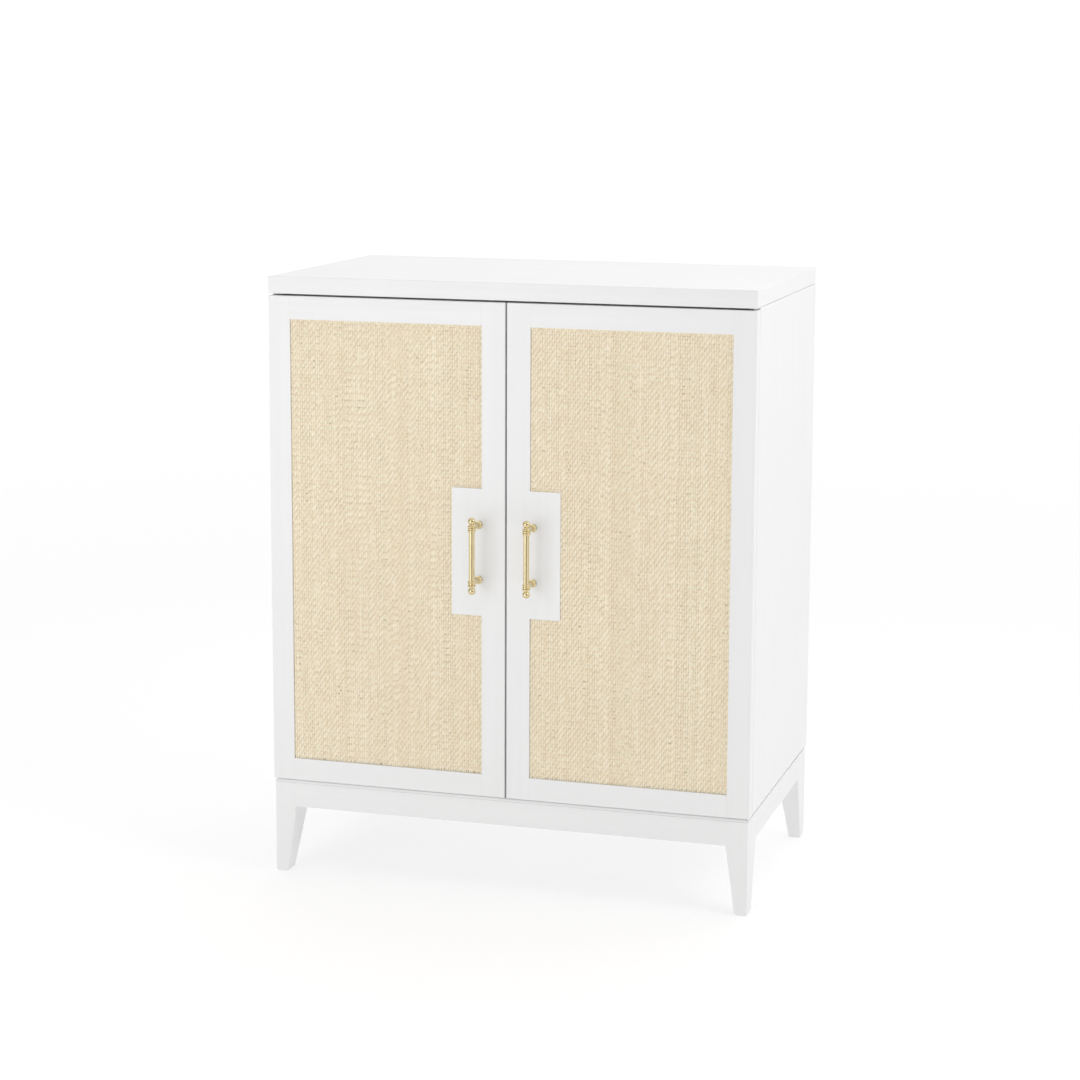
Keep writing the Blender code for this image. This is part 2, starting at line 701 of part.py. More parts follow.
def build_hinge(side_name, side, level, boards, steel, pivot):
    """A pivot hinge let in flush: a leaf with a pin on the case, a drilled leaf in the door's end."""
    case_board, case_face, stile, door_face = boards
    toward_door = 1 if door_face > case_face else -1
    case_deep = case_face - toward_door * LEAF_THICKNESS
    door_deep = door_face + toward_door * LEAF_THICKNESS
    recess = LEAF_THICKNESS + FIT
    name = f"{side_name}_{level}"
    let_in(case_board, f"{name}_case", side, CASE_LEAF_END_RADIUS, case_face, recess)
    let_in(stile, f"{name}_door", side, DOOR_LEAF_END_RADIUS, door_face, recess, pivot)
    case_leaf = prism(
        f"{side_name}_door_{level}_pivot_case_leaf", leaf_outline(side, CASE_LEAF_END_RADIUS), "Z",
        min(case_face, case_deep), max(case_face, case_deep), steel, edge=0,
    )
    door_leaf = prism(
        f"{side_name}_door_{level}_pivot_door_leaf", leaf_outline(side, DOOR_LEAF_END_RADIUS), "Z",
        min(door_face, door_deep), max(door_face, door_deep), steel, pivot, edge=0,
    )
    centre = (side * PIVOT_X, PIVOT_Y, 0)
    pin_root = (case_face + case_deep) / 2
    pin = turned(
        f"pin_{name}",
        rod_profile(PIVOT_PIN_RADIUS, min(pin_root, door_deep), max(pin_root, door_deep)),
        None, centre, sides=HINGE_SIDES,
    )
    cut(case_leaf, pin, "UNION")
    bore_low, bore_high = sorted((case_face, door_face + toward_door * recess))
    drill = turned(
        f"drill_{name}_hinge", rod_profile(PIVOT_PIN_RADIUS + FIT, bore_low, bore_high),
        None, centre, sides=HINGE_SIDES,
    )
    cut(door_leaf, drill)


def build_catch(materials):
    """The double magnetic catch under the case ceiling, between the doors."""
    front = CASE_FRONT_Y + FIT
    top = CEILING_PANEL_BOTTOM - FIT
    panel(
        "magnetic_catch",
        (-CATCH_SIZE.x / 2, front, top - CATCH_SIZE.z),
        (CATCH_SIZE.x / 2, front + CATCH_SIZE.y, top),
        materials["catch_plastic"],
    )


def main():
    for obj in list(bpy.data.objects):
        bpy.data.objects.remove(obj)
    materials = make_materials()
    base_board = build_base(materials)
    slab = build_case(materials)
    build_catch(materials)
    for side_name, side in SIDES:
        pivot, stile = build_door(side_name, side, materials)
        build_pull(side_name, side, materials, pivot)
        for level, boards in (
            ("bottom", (base_board, CASE_BOTTOM, stile, DOOR_BOTTOM)),
            ("top", (slab, TOP_UNDERSIDE, stile, DOOR_TOP)),
        ):
            build_hinge(side_name, side, level, boards, materials["steel"], pivot)


main()
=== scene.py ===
"""Looks of the two-door cabinet: woven straw door panels, turned brass pulls, white lacquer."""

import math

import bmesh
import bpy
import numpy as np
from mathutils import Matrix, Vector


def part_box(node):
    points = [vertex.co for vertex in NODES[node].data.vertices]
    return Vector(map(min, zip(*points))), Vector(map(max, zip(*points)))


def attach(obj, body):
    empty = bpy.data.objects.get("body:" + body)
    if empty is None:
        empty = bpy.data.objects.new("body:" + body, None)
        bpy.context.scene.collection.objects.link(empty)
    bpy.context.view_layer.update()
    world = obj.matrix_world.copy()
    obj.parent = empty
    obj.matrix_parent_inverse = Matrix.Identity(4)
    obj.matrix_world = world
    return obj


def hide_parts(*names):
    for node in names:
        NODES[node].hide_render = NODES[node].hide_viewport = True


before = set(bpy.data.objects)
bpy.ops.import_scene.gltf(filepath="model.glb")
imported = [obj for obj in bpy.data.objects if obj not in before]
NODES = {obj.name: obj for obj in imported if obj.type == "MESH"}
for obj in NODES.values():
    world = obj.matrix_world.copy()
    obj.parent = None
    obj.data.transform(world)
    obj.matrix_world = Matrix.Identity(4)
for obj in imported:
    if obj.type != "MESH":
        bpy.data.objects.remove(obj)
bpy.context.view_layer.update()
SIDES = (("left", -1), ("right", 1))

# ---------------------------------------------------------------- camera

CAMERA_PLACE = Vector((1.3072, -4.388, 1.4469))
CAMERA_YAW = math.radians(-16.692)
CAMERA_PITCH = math.radians(-8.981)
CAMERA_ROLL = math.radians(0.216)
CAMERA_SENSOR = 36.0
CAMERA_LENS = 86.44
CAMERA_SHIFT_Y = -0.07
CAMERA_CLIP = (0.05, 100.0)


def make_camera():
    """The camera, from its place, heading, tilt and roll."""
    data = bpy.data.cameras.new("camera")
    data.sensor_width = CAMERA_SENSOR
    data.lens = CAMERA_LENS
    data.shift_y = CAMERA_SHIFT_Y
    data.clip_start, data.clip_end = CAMERA_CLIP
    camera = bpy.data.objects.new("camera", data)
    bpy.context.scene.collection.objects.link(camera)
    ahead = Vector((
        math.sin(CAMERA_YAW) * math.cos(CAMERA_PITCH),
        math.cos(CAMERA_YAW) * math.cos(CAMERA_PITCH),
        math.sin(CAMERA_PITCH),
    ))
    level = Vector((math.cos(CAMERA_YAW), -math.sin(CAMERA_YAW), 0.0))
    above = level.cross(ahead)
    right = math.cos(CAMERA_ROLL) * level + math.sin(CAMERA_ROLL) * above
    up = math.cos(CAMERA_ROLL) * above - math.sin(CAMERA_ROLL) * level
    turn = Matrix((right, up, -ahead)).transposed()
    camera.matrix_world = Matrix.Translation(CAMERA_PLACE) @ turn.to_4x4()
    bpy.context.scene.camera = camera


# ---------------------------------------------------------------- node helpers


class Nodes:
    """Short calls for building a node tree."""

    def __init__(self, tree):
        self.tree = tree
        tree.nodes.clear()

    def add(self, kind, inputs=None, **settings):
        """A node with its settings, and its inputs set to values or linked to sockets."""
        node = self.tree.nodes.new(kind)
        for key, value in settings.items():
            setattr(node, key, value)
        for key, value in (inputs or {}).items():
            socket = node.inputs[key]
            if isinstance(value, bpy.types.NodeSocket):
                self.tree.links.new(value, socket)
            else:
                socket.default_value = value
        return node

    def place(self, scale):
        """Object coordinates times a scale for each axis."""
        coordinates = self.add("ShaderNodeTexCoord")
        mapping = self.add(
            "ShaderNodeMapping", {"Vector": coordinates.outputs["Object"], "Scale": scale}
        )
        return mapping.outputs["Vector"]

    def noise(self, scale, detail=2.0, rough=0.5, distortion=0.0):
        """Noise from 0 to 1 in object space, with a scale for each axis."""
        node = self.add(
            "ShaderNodeTexNoise",
            {"Vector": self.place(scale), "Scale": 1.0, "Detail": detail, "Roughness": rough,
             "Distortion": distortion},
        )
        return node.outputs["Fac"]

    def remap(self, value, low, high, to_low=0.0, to_high=1.0):
        """A value moved from one range to another, clamped."""
        node = self.add(
            "ShaderNodeMapRange",
            {"Value": value, "From Min": low, "From Max": high,
             "To Min": to_low, "To Max": to_high},
        )
        return node.outputs["Result"]

    def math(self, operation, a, b=0.0):
        """One arithmetic step."""
        return self.add("ShaderNodeMath", {0: a, 1: b}, operation=operation).outputs[0]

    def mix(self, factor, a, b, blend="MIX"):
        """Two colours mixed."""
        node = self.add("ShaderNodeMix", data_type="RGBA", blend_type=blend)
        for socket, value in ((node.inputs[0], factor), (node.inputs[6], a), (node.inputs[7], b)):
            if isinstance(value, bpy.types.NodeSocket):
                self.tree.links.new(value, socket)
            elif hasattr(value, "__len__"):
                socket.default_value = (*value[:3], 1.0)
            else:
                socket.default_value = value
        return node.outputs[2]

    def bump(self, height, strength, distance, normal=None):
        """A bump from a height, on top of an earlier bump."""
        inputs = {"Height": height, "Strength": strength, "Distance": distance}
        if normal is not None:
            inputs["Normal"] = normal
        return self.add("ShaderNodeBump", inputs).outputs["Normal"]

    def finish(self, inputs):
        """A Principled surface on the material's output."""
        shader = self.add("ShaderNodeBsdfPrincipled", inputs)
        self.add("ShaderNodeOutputMaterial", {"Surface": shader.outputs["BSDF"]})


def new_material(name):
    """An empty node material."""
    material = bpy.data.materials.new(name)
    material.use_nodes = True
    return material, Nodes(material.node_tree)


# ---------------------------------------------------------------- materials

GRAIN_ALONG = 1.6
GRAIN_ACROSS = 55.0
LACQUER_DARK, LACQUER_LIGHT = (0.868, 0.869, 0.866), (0.894, 0.895, 0.893)
LACQUER_CLOUD = (0.872, 0.876, 0.880)
STRAW_GREEN, STRAW_FIELD = (0.80, 0.80, 0.58), (0.80, 0.66, 0.50)
PLASTIC_DARK, PLASTIC_LIGHT = (0.80, 0.80, 0.79), (0.84, 0.84, 0.835)


def lacquer(name, axis):
    """White satin lacquer over a board whose faint grain runs along axis 0, 1 or 2."""
    material, n = new_material(name)
    stretch = [GRAIN_ACROSS] * 3
    stretch[axis] = GRAIN_ALONG
    fine = [GRAIN_ACROSS * 6.0] * 3
    fine[axis] = GRAIN_ALONG * 8.0
    streaks = n.noise(stretch, detail=4.0, rough=0.6)
    pores = n.noise(fine, detail=2.0)
    clouds = n.noise((5.0, 5.0, 5.0), detail=2.0)
    peel = n.noise((420.0, 420.0, 420.0), detail=1.0)
    tone = n.mix(n.remap(streaks, 0.3, 0.7), LACQUER_DARK, LACQUER_LIGHT)
    tone = n.mix(n.remap(clouds, 0.35, 0.7, 0.0, 0.35), tone, LACQUER_CLOUD)
    gloss = n.math(
        "ADD", n.remap(clouds, 0.3, 0.7, 0.34, 0.42), n.remap(pores, 0.3, 0.7, -0.02, 0.03)
    )
    normal = n.bump(n.remap(pores, 0.3, 0.7), 0.10, 0.0003)
    normal = n.bump(streaks, 0.12, 0.0006, normal)
    normal = n.bump(peel, 0.05, 0.0002, normal)
    n.finish({
        "Base Color": tone, "Roughness": gloss, "Normal": normal,
        "Specular IOR Level": 0.45, "Coat Weight": 0.12, "Coat Roughness": 0.22,
    })
    return material


def straw(name, along_z, light, dark, deep):
    """Split straw strands. Each strand's own tone is in the mesh, with fibre lines along it."""
    material, n = new_material(name)
    fibre_scale = (1500.0, 1500.0, 70.0) if along_z else (70.0, 1500.0, 1500.0)
    blotch_scale = (160.0, 160.0, 60.0) if along_z else (60.0, 160.0, 160.0)
    own = n.add("ShaderNodeAttribute", attribute_name="strand_tone").outputs["Color"]
    parts = n.add("ShaderNodeSeparateColor", {"Color": own})
    fibres = n.noise(fibre_scale, detail=3.0, rough=0.6)
    blotches = n.noise(blotch_scale, detail=3.0, rough=0.55)
    field = n.noise((7.0, 7.0, 3.5), detail=3.0, rough=0.6)
    tone = n.mix(parts.outputs["Red"], dark, light)
    tone = n.mix(n.remap(fibres, 0.35, 0.7, 0.0, 0.30), tone, deep)
    tone = n.mix(n.remap(blotches, 0.5, 0.75, 0.0, 0.28), tone, deep)
    tone = n.mix(n.remap(parts.outputs["Green"], 0.55, 1.0, 0.0, 0.18), tone, STRAW_GREEN)
    tone = n.mix(n.remap(field, 0.35, 0.7, 0.0, 0.16), tone, STRAW_FIELD)
    gloss = n.remap(fibres, 0.3, 0.7, 0.48, 0.66)
    normal = n.bump(fibres, 0.35, 0.0004)
    normal = n.bump(blotches, 0.25, 0.0006, normal)
    n.finish({
        "Base Color": tone, "Roughness": gloss, "Normal": normal,
        "Specular IOR Level": 0.35, "Sheen Weight": 0.08, "Sheen Roughness": 0.5,
    })
    return material


def metal(name, colour, stain, roughness, mark_scale):
    """A polished or brushed metal with fine marks and faint staining."""
    material, n = new_material(name)
    marks = n.noise(mark_scale, detail=3.0, rough=0.65)
    cloud = n.noise((60.0, 60.0, 60.0), detail=3.0)
    tone = n.mix(n.remap(cloud, 0.4, 0.75, 0.0, 0.35), colour, stain)
    tone = n.mix(n.remap(marks, 0.35, 0.7, 0.0, 0.12), tone, stain)
    gloss = n.math(
        "ADD", n.remap(marks, 0.3, 0.7, *roughness), n.remap(cloud, 0.45, 0.75, 0.0, 0.05)
    )
    n.finish({
        "Base Color": tone, "Metallic": 1.0, "Roughness": gloss,
        "Normal": n.bump(marks, 0.06, 0.0001),
    })
    return material


def plastic(name):
    """White moulded plastic with a fine spark-eroded grain."""
    material, n = new_material(name)
    grain = n.noise((1800.0, 1800.0, 1800.0), detail=2.0)
    cloud = n.noise((60.0, 60.0, 60.0), detail=2.0)
    tone = n.mix(n.remap(cloud, 0.3, 0.7), PLASTIC_DARK, PLASTIC_LIGHT)
    n.finish({
        "Base Color": tone, "Roughness": n.remap(grain, 0.3, 0.7, 0.42, 0.56),
        "Normal": n.bump(grain, 0.15, 0.0001), "Subsurface Weight": 0.03,
    })
    return material


# Light, dark and deep tones of each kind of strand.
WARP_TONES = ((1.0, 0.93, 0.755), (0.92, 0.80, 0.59), (0.78, 0.645, 0.44))
WEFT_TONES = ((0.97, 0.83, 0.63), (0.82, 0.68, 0.465), (0.67, 0.53, 0.34))
# The backing cloth's dark straw tones are painted shade, standing in for the shadow in the gaps
# between the strands.
GAP_SHADE_CLOTH_TONES = ((0.56, 0.46, 0.32), (0.50, 0.41, 0.28), (0.40, 0.32, 0.21))
BRASS_TONES = ((0.80, 0.68, 0.41), (0.70, 0.57, 0.32))
STEEL_TONES = ((0.66, 0.66, 0.65), (0.52, 0.52, 0.51))
BRASS_MARKS = (500.0, 500.0, 2600.0)
STEEL_MARKS = (2400.0, 300.0, 2400.0)


def make_materials():
    """Every material, by a short name."""
    return {
        "lacquer_x": lacquer("white_lacquer_across", 0),
        "lacquer_y": lacquer("white_lacquer_deep", 1),
        "lacquer_z": lacquer("white_lacquer_upright", 2),
        "warp": straw("straw_warp", True, *WARP_TONES),
        "weft": straw("straw_weft", False, *WEFT_TONES),
        # The backing cloth: a real sheet, whose dark tone is painted shade between the strands.
        "gap_shade_cloth": straw("straw_cloth_gap_shade", False, *GAP_SHADE_CLOTH_TONES),
        "brass": metal("polished_brass", *BRASS_TONES, (0.11, 0.18), BRASS_MARKS),
        "steel": metal("bright_steel", *STEEL_TONES, (0.24, 0.38), STEEL_MARKS),
        "plastic": plastic("moulded_plastic"),
    }


# ---------------------------------------------------------------- pieces


def add_piece(name, mesh, material, body, replaced=()):
    """A visible piece that moves with a body and takes its finish from a slot."""
    piece = bpy.data.objects.new(name, mesh)
    bpy.context.scene.collection.objects.link(piece)
    mesh.materials.append(material)
    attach(piece, body)
    if replaced:
        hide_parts(*replaced)
    return piece


# ---------------------------------------------------------------- woven panels

WARP_PITCH = 0.0041
WEFT_PITCH = 0.0060
WARP_HALF_WIDTH = 0.00174
WEFT_HALF_WIDTH = 0.0023
WARP_LIFT = 0.00056
WEFT_LIFT = 0.00026
STRAND_HEIGHT = 0.00050
WARP_SLANT = 0.00030
WARP_DRIFT = 1.4
WEAVE_SET_BACK = 0.0002
WEFT_BEHIND = 0.0002
WEFT_EDGE_MARGIN = 0.001
BACKING_BEHIND = 0.0003
BACKING_CLEARANCE = 0.0001
PANEL_CLEARANCE = 0.0004
TAB_TOLERANCE = 0.001
WARP_SAMPLES = 3
WEFT_SAMPLES = 2
WARP_SECTION = ((-1.0, 0.0), (-0.68, 0.72), (0.0, 1.0), (0.68, 0.72), (1.0, 0.0))
WEFT_SECTION = ((-1.0, 0.0), (-0.48, 0.92), (0.48, 0.92), (1.0, 0.0))
STRAND_SHARP_ANGLE = math.radians(75)
WEAVE_SEED = 1873

# Middle tone of the strands, its spread from strand to strand, and along a strand.
WARP_TONE, WARP_TONE_SPREAD, WARP_TONE_ALONG = 0.57, 0.16, 0.36
WEFT_TONE, WEFT_TONE_SPREAD, WEFT_TONE_ALONG = 0.5, 0.08, 0.26
WARP_WIDTHS = (0.82, 1.10)
WEFT_WIDTHS = (0.92, 1.04)
WARP_SWELL = 0.10
WEFT_FLATNESS = 0.9

# Each wander is the number of steps from one turn to the next, and its size.
STREAK_WANDER = (5, 0.06)
DRIFT_WANDER = (17, WARP_DRIFT * 0.5)
LIFT_WANDER = (8, 0.30)
SIDEWAYS_WANDER = (9, 0.00016)
LEVEL_WANDER = (12, 0.00018)
WARP_WIDTH_WANDER = (7, 0.05)
WEFT_WIDTH_WANDER = (9, 0.05)
HEIGHT_WANDER = (11, 0.10)
TONE_STEP = 2


def face_outward(mesh):
    """Turn every face of a closed mesh to the outside."""
    bm = bmesh.new()
    bm.from_mesh(mesh)
    bmesh.ops.recalc_face_normals(bm, faces=bm.faces)
    bm.to_mesh(mesh)
    bm.free()


def strand_mesh(name, strands, tones, across, section):
    """Closed flat-backed strands, each (path, half widths, heights). across is the width's axis."""
    points, faces, colours = [], [], []
    start = 0
    ring = len(section)
    for (path, half, height), tone in zip(strands, tones):
        count = len(path)
        rings = np.repeat(path[:, None, :], ring, axis=1)
        for k, (u, v) in enumerate(section):
            rings[:, k, across] += u * half
            rings[:, k, 1] -= v * height
        points.append(rings.reshape(-1, 3))
        base = start + np.arange(count - 1)[:, None] * ring
        k = np.arange(ring)[None, :]
        following = (k + 1) % ring
        quads = np.stack(
            [base + k, base + following, base + ring + following, base + ring + k], axis=-1
        )
        faces.extend(quads.reshape(-1, 4).tolist())
        faces.append([start + i for i in range(ring)])
        faces.append([start + (count - 1) * ring + i for i in reversed(range(ring))])
        colours.append(np.repeat(tone, ring, axis=0))
        start += count * ring
    mesh = bpy.data.meshes.new(name)
    mesh.from_pydata(np.concatenate(points).tolist(), [], faces)
    layer = mesh.attributes.new("strand_tone", "FLOAT_COLOR", "POINT")
    layer.data.foreach_set("color", np.concatenate(colours).astype(np.float32).ravel())
    face_outward(mesh)
    mesh.shade_smooth()
    mesh.set_sharp_from_angle(angle=STRAND_SHARP_ANGLE)
    return mesh


def wander(rng, count, step, size):
    """A slow random wander round zero, for the unevenness along a strand."""
    rough = rng.normal(0.0, 1.0, count // step + 3)
    at = np.arange(count) / step
    low = at.astype(int)
    t = at - low
    t = t * t * (3.0 - 2.0 * t)
    return size * (rough[low] * (1.0 - t) + rough[low + 1] * t)


def strand_tones(rng, count, middle, size):
    """The tone at every point of a strand, uneven along it, and the strand's share of green."""
    tones = np.ones((count, 4))
    tones[:, 0] = np.clip(middle + wander(rng, count, TONE_STEP, size), 0.0, 1.0)
    tones[:, 1] = rng.random()
    tones[:, 2] = rng.random()
    return tones


class Opening:
    """The stepped opening of one door, measured from its CAD woven panel. Distances from the
    cabinet's middle are positive on both sides."""

    def __init__(self, side_name, side):
        self.side_name, self.side = side_name, side
        self.node = f"{side_name}_door_woven_panel"
        self.low, self.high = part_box(self.node)
        tab_low, tab_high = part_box(f"{side_name}_door_inner_stile")
        self.corners = np.array([v.co for v in NODES[self.node].data.vertices])
        self.near = min(abs(self.low.x), abs(self.high.x))
        self.far = max(abs(self.low.x), abs(self.high.x))
        self.tab_far = max(abs(tab_low.x), abs(tab_high.x)) + PANEL_CLEARANCE
        off_tab = np.abs(np.abs(self.corners[:, 0]) - self.tab_far)
        on_tab = self.corners[off_tab < TAB_TOLERANCE]
        self.step_low, self.step_high = on_tab[:, 2].min(), on_tab[:, 2].max()
        self.middle_y = (self.low.y + self.high.y) / 2 + WEAVE_SET_BACK
        self.columns = int((self.far - self.near) / WARP_PITCH)
        self.pitch = (self.far - self.near) / self.columns


def build_backing(opening, materials):
    """The cloth behind the strands, with the opening's stepped outline. Its dark straw colour is
    painted shade: it stands in for the shadow in the gaps between the strands.
    """
    outline = sorted({(round(x, 6), round(z, 6)) for x, _, z in opening.corners})
    outer = max(outline, key=lambda point: abs(point[0]))[0]
    inner, stepped = sorted({x for x, _ in outline}, key=abs)[:2]
    low, step_low, step_high, high = sorted({z for _, z in outline})
    points = [
        (inner, low), (outer, low), (outer, high), (inner, high),
        (inner, step_high), (stepped, step_high), (stepped, step_low), (inner, step_low),
    ]
    front = opening.middle_y + BACKING_BEHIND
    back = opening.high.y - BACKING_CLEARANCE
    count = len(points)
    faces = [list(range(count)), list(range(count, 2 * count))]
    for i in range(count):
        j = (i + 1) % count
        faces.append([i, j, count + j, count + i])
    name = f"{opening.side_name}_weave_backing"
    mesh = bpy.data.meshes.new(name)
    mesh.from_pydata([(x, y, z) for y in (front, back) for x, z in points], [], faces)
    face_outward(mesh)
    add_piece(name, mesh, materials["gap_shade_cloth"], f"{opening.side_name}_door")


def build_uprights(rng, opening, materials):
    """The upright strands, in two pieces so that neither is too heavy."""
    low, high = opening.low.z, opening.high.z
    strands, tones = [], []
    streak = wander(rng, opening.columns, *STREAK_WANDER)
    for column in range(opening.columns):
        x = opening.near + (column + 0.5) * opening.pitch
        stretches = [(low, high)]
        if x < opening.tab_far:
            stretches = [(low, opening.step_low), (opening.step_high, high)]
        tone = WARP_TONE + streak[column] + rng.normal(0.0, WARP_TONE_SPREAD)
        drift = rng.uniform(-WARP_DRIFT, WARP_DRIFT)
        width = WARP_HALF_WIDTH * rng.uniform(*WARP_WIDTHS)
        for bottom, top in stretches:
            count = int((top - bottom) / WEFT_PITCH * WARP_SAMPLES)
            z = np.linspace(bottom, top, count)
            phase = (z - low) / WEFT_PITCH
            phase += (drift + wander(rng, count, *DRIFT_WANDER)) / math.pi
            wave = np.cos(math.pi * (phase + column))
            slant = np.sin(math.pi * (phase + column))
            lift = WARP_LIFT * (1.0 + wander(rng, count, *LIFT_WANDER))
            path = np.empty((count, 3))
            path[:, 0] = opening.side * x + WARP_SLANT * slant
            path[:, 0] += wander(rng, count, *SIDEWAYS_WANDER)
            path[:, 1] = opening.middle_y - lift * wave
            path[:, 2] = z
            half = width * (1.0 + WARP_SWELL * wave + wander(rng, count, *WARP_WIDTH_WANDER))
            height = STRAND_HEIGHT * (1.0 + wander(rng, count, *HEIGHT_WANDER))
            strands.append((path, half, height))
            tones.append(strand_tones(rng, count, tone, WARP_TONE_ALONG))
    split = len(strands) // 2
    for part, pick, replaced in (
        ("a", slice(0, split), (opening.node,)),
        ("b", slice(split, None), ()),
    ):
        name = f"{opening.side_name}_weave_upright_{part}"
        mesh = strand_mesh(name, strands[pick], tones[pick], 0, WARP_SECTION)
        body = f"{opening.side_name}_door"
        add_piece(name, mesh, materials["warp"], body, replaced)


def build_crosswise(rng, opening, materials):
    """The crosswise strands, behind and in front of the upright ones by turns."""
    low, high = opening.low.z, opening.high.z
    rows = int((high - low) / WEFT_PITCH)
    strands, tones = [], []
    for row in range(rows + 1):
        z = low + row * WEFT_PITCH
        if z > high - WEFT_EDGE_MARGIN or z < low + WEFT_EDGE_MARGIN:
            continue
        beside_tab = opening.step_low < z < opening.step_high
        start = opening.tab_far if beside_tab else opening.near
        count = int((opening.far - start) / opening.pitch * WEFT_SAMPLES)
        x = np.linspace(start, opening.far, count)
        wave = np.cos(math.pi * ((x - opening.near) / opening.pitch - 0.5 + row))
        path = np.empty((count, 3))
        path[:, 0] = opening.side * x
        path[:, 1] = opening.middle_y + WEFT_BEHIND + WEFT_LIFT * wave
        path[:, 2] = z + wander(rng, count, *LEVEL_WANDER)
        width = WEFT_HALF_WIDTH * rng.uniform(*WEFT_WIDTHS)
        half = width * (1.0 + wander(rng, count, *WEFT_WIDTH_WANDER))
        height = STRAND_HEIGHT * (WEFT_FLATNESS + wander(rng, count, *HEIGHT_WANDER))
        strands.append((path, half, height))
        tone = WEFT_TONE + rng.normal(0.0, WEFT_TONE_SPREAD)
        tones.append(strand_tones(rng, count, tone, WEFT_TONE_ALONG))
    name = f"{opening.side_name}_weave_crosswise"
    mesh = strand_mesh(name, strands, tones, 2, WEFT_SECTION)
    add_piece(name, mesh, materials["weft"], f"{opening.side_name}_door")


def build_weave(side_name, side, materials):
    """The plain weave of one door: upright strands over and under the crosswise ones."""
    rng = np.random.default_rng(WEAVE_SEED + (side > 0))
    opening = Opening(side_name, side)
    build_backing(opening, materials)
    build_uprights(rng, opening, materials)
    build_crosswise(rng, opening, materials)


# ---------------------------------------------------------------- pulls

LATHE_SIDES = 48
LATHE_SHARP_ANGLE = math.radians(50)
QUARTER = math.pi / 2

BAR_RADIUS = 0.0050
NECK_RADIUS = 0.0038
NECK_STEP = 0.0002
WAIST_RADIUS = 0.0062
WAIST_HALF_WIDTH = 0.0009
BEAD_RADIUS = 0.00725
BEAD_HALF_WIDTH = 0.0018
BEAD_OFFSET = 0.0035
BEAD_FILLET = 0.0004
BALL_RADIUS = 0.0065
BALL_OFFSET = 0.0125
SUPPORT_LOOP = 0.0004

ROSETTE_RADIUS = 0.00725
ROSETTE_FOOT_BEVEL = 0.0002
ROSETTE_RIM = 0.0012
ROSETTE_ROUNDING = 0.0005
ROSETTE_TOP = 0.0018
ROSETTE_TOP_INSET = 0.0012
FLARE_FOOT = 0.0021
FLARE_FOOT_INSET = 0.0014
FLARE_TOP = 0.0085
FLARE_POWER = 2.2
FLARE_STEPS = 8
POST_RADIUS = 0.0036
POST_END_RADIUS = 0.0043
POST_END = 0.001
COLLAR_OFFSET = 0.0035
COLLAR_RISE = 0.0009
COLLAR_HALF_WIDTH = 0.0008
SADDLE_DEPTH = 0.002
SADDLE_SINK = 0.0001


def lathe(name, profile):
    """A turned mesh. The profile lists (radius, height), pole to pole, upwards along local Z."""
    points, rings, faces = [], [], []
    for radius, height in profile:
        start = len(points)
        turns = range(LATHE_SIDES if radius > 0.0 else 1)
        angles = [math.tau * i / LATHE_SIDES for i in turns]
        points += [(radius * math.cos(a), radius * math.sin(a), height) for a in angles]
        rings.append([start + i for i in turns])
    for low, high in zip(rings, rings[1:]):
        for i in range(LATHE_SIDES):
            j = (i + 1) % LATHE_SIDES
            corners = (
                low[i % len(low)], low[j % len(low)], high[j % len(high)], high[i % len(high)],
            )
            faces.append(list(dict.fromkeys(corners)))
    mesh = bpy.data.meshes.new(name)
    mesh.from_pydata(points, [], faces)
    mesh.shade_smooth()
    mesh.set_sharp_from_angle(angle=LATHE_SHARP_ANGLE)
    return mesh


def arc(centre, radius, start, end, steps):
    """Points of an arc on a profile, from one angle to another, the first one left out."""
    angles = [start + (end - start) * (i + 1) / steps for i in range(steps)]
    return [
        (centre[0] + radius[0] * math.cos(a), centre[1] + radius[1] * math.sin(a)) for a in angles
    ]


def bead(foot_radius, middle, steps):
    """Half a turn of a bead that stands on a radius."""
    foot = foot_radius + BEAD_FILLET
    size = (BEAD_RADIUS - foot, BEAD_HALF_WIDTH)
    return arc((foot, middle), size, -QUARTER, QUARTER, steps)


def bar_profile(half_length):
    """The bar of a pull: rings either side of each post and a ball at each end."""
    ball = half_length + BALL_OFFSET
    inner, outer = half_length - BEAD_OFFSET, half_length + BEAD_OFFSET
    foot = inner - BEAD_HALF_WIDTH
    neck = math.acos(NECK_RADIUS / BALL_RADIUS)
    half = [
        (BAR_RADIUS, 0.0),
        (BAR_RADIUS, foot - BEAD_FILLET - SUPPORT_LOOP),
        (BAR_RADIUS, foot - BEAD_FILLET),
        (BAR_RADIUS + BEAD_FILLET * 0.3, foot - BEAD_FILLET * 0.3),
    ]
    half += bead(BAR_RADIUS, inner, 10)
    half.append((WAIST_RADIUS, half_length - WAIST_HALF_WIDTH))
    half.append((WAIST_RADIUS, half_length + WAIST_HALF_WIDTH))
    half.append((BAR_RADIUS + BEAD_FILLET, outer - BEAD_HALF_WIDTH))
    half += bead(NECK_RADIUS, outer, 12)
    half.append((NECK_RADIUS, outer + BEAD_HALF_WIDTH + BEAD_FILLET))
    half.append((NECK_RADIUS, ball - BALL_RADIUS * math.sin(neck) - NECK_STEP))
    half += arc((0.0, ball), (BALL_RADIUS, BALL_RADIUS), -neck, QUARTER * 0.97, 20)
    half.append((0.0, ball + BALL_RADIUS))
    return [(radius, -height) for radius, height in reversed(half[1:])] + half


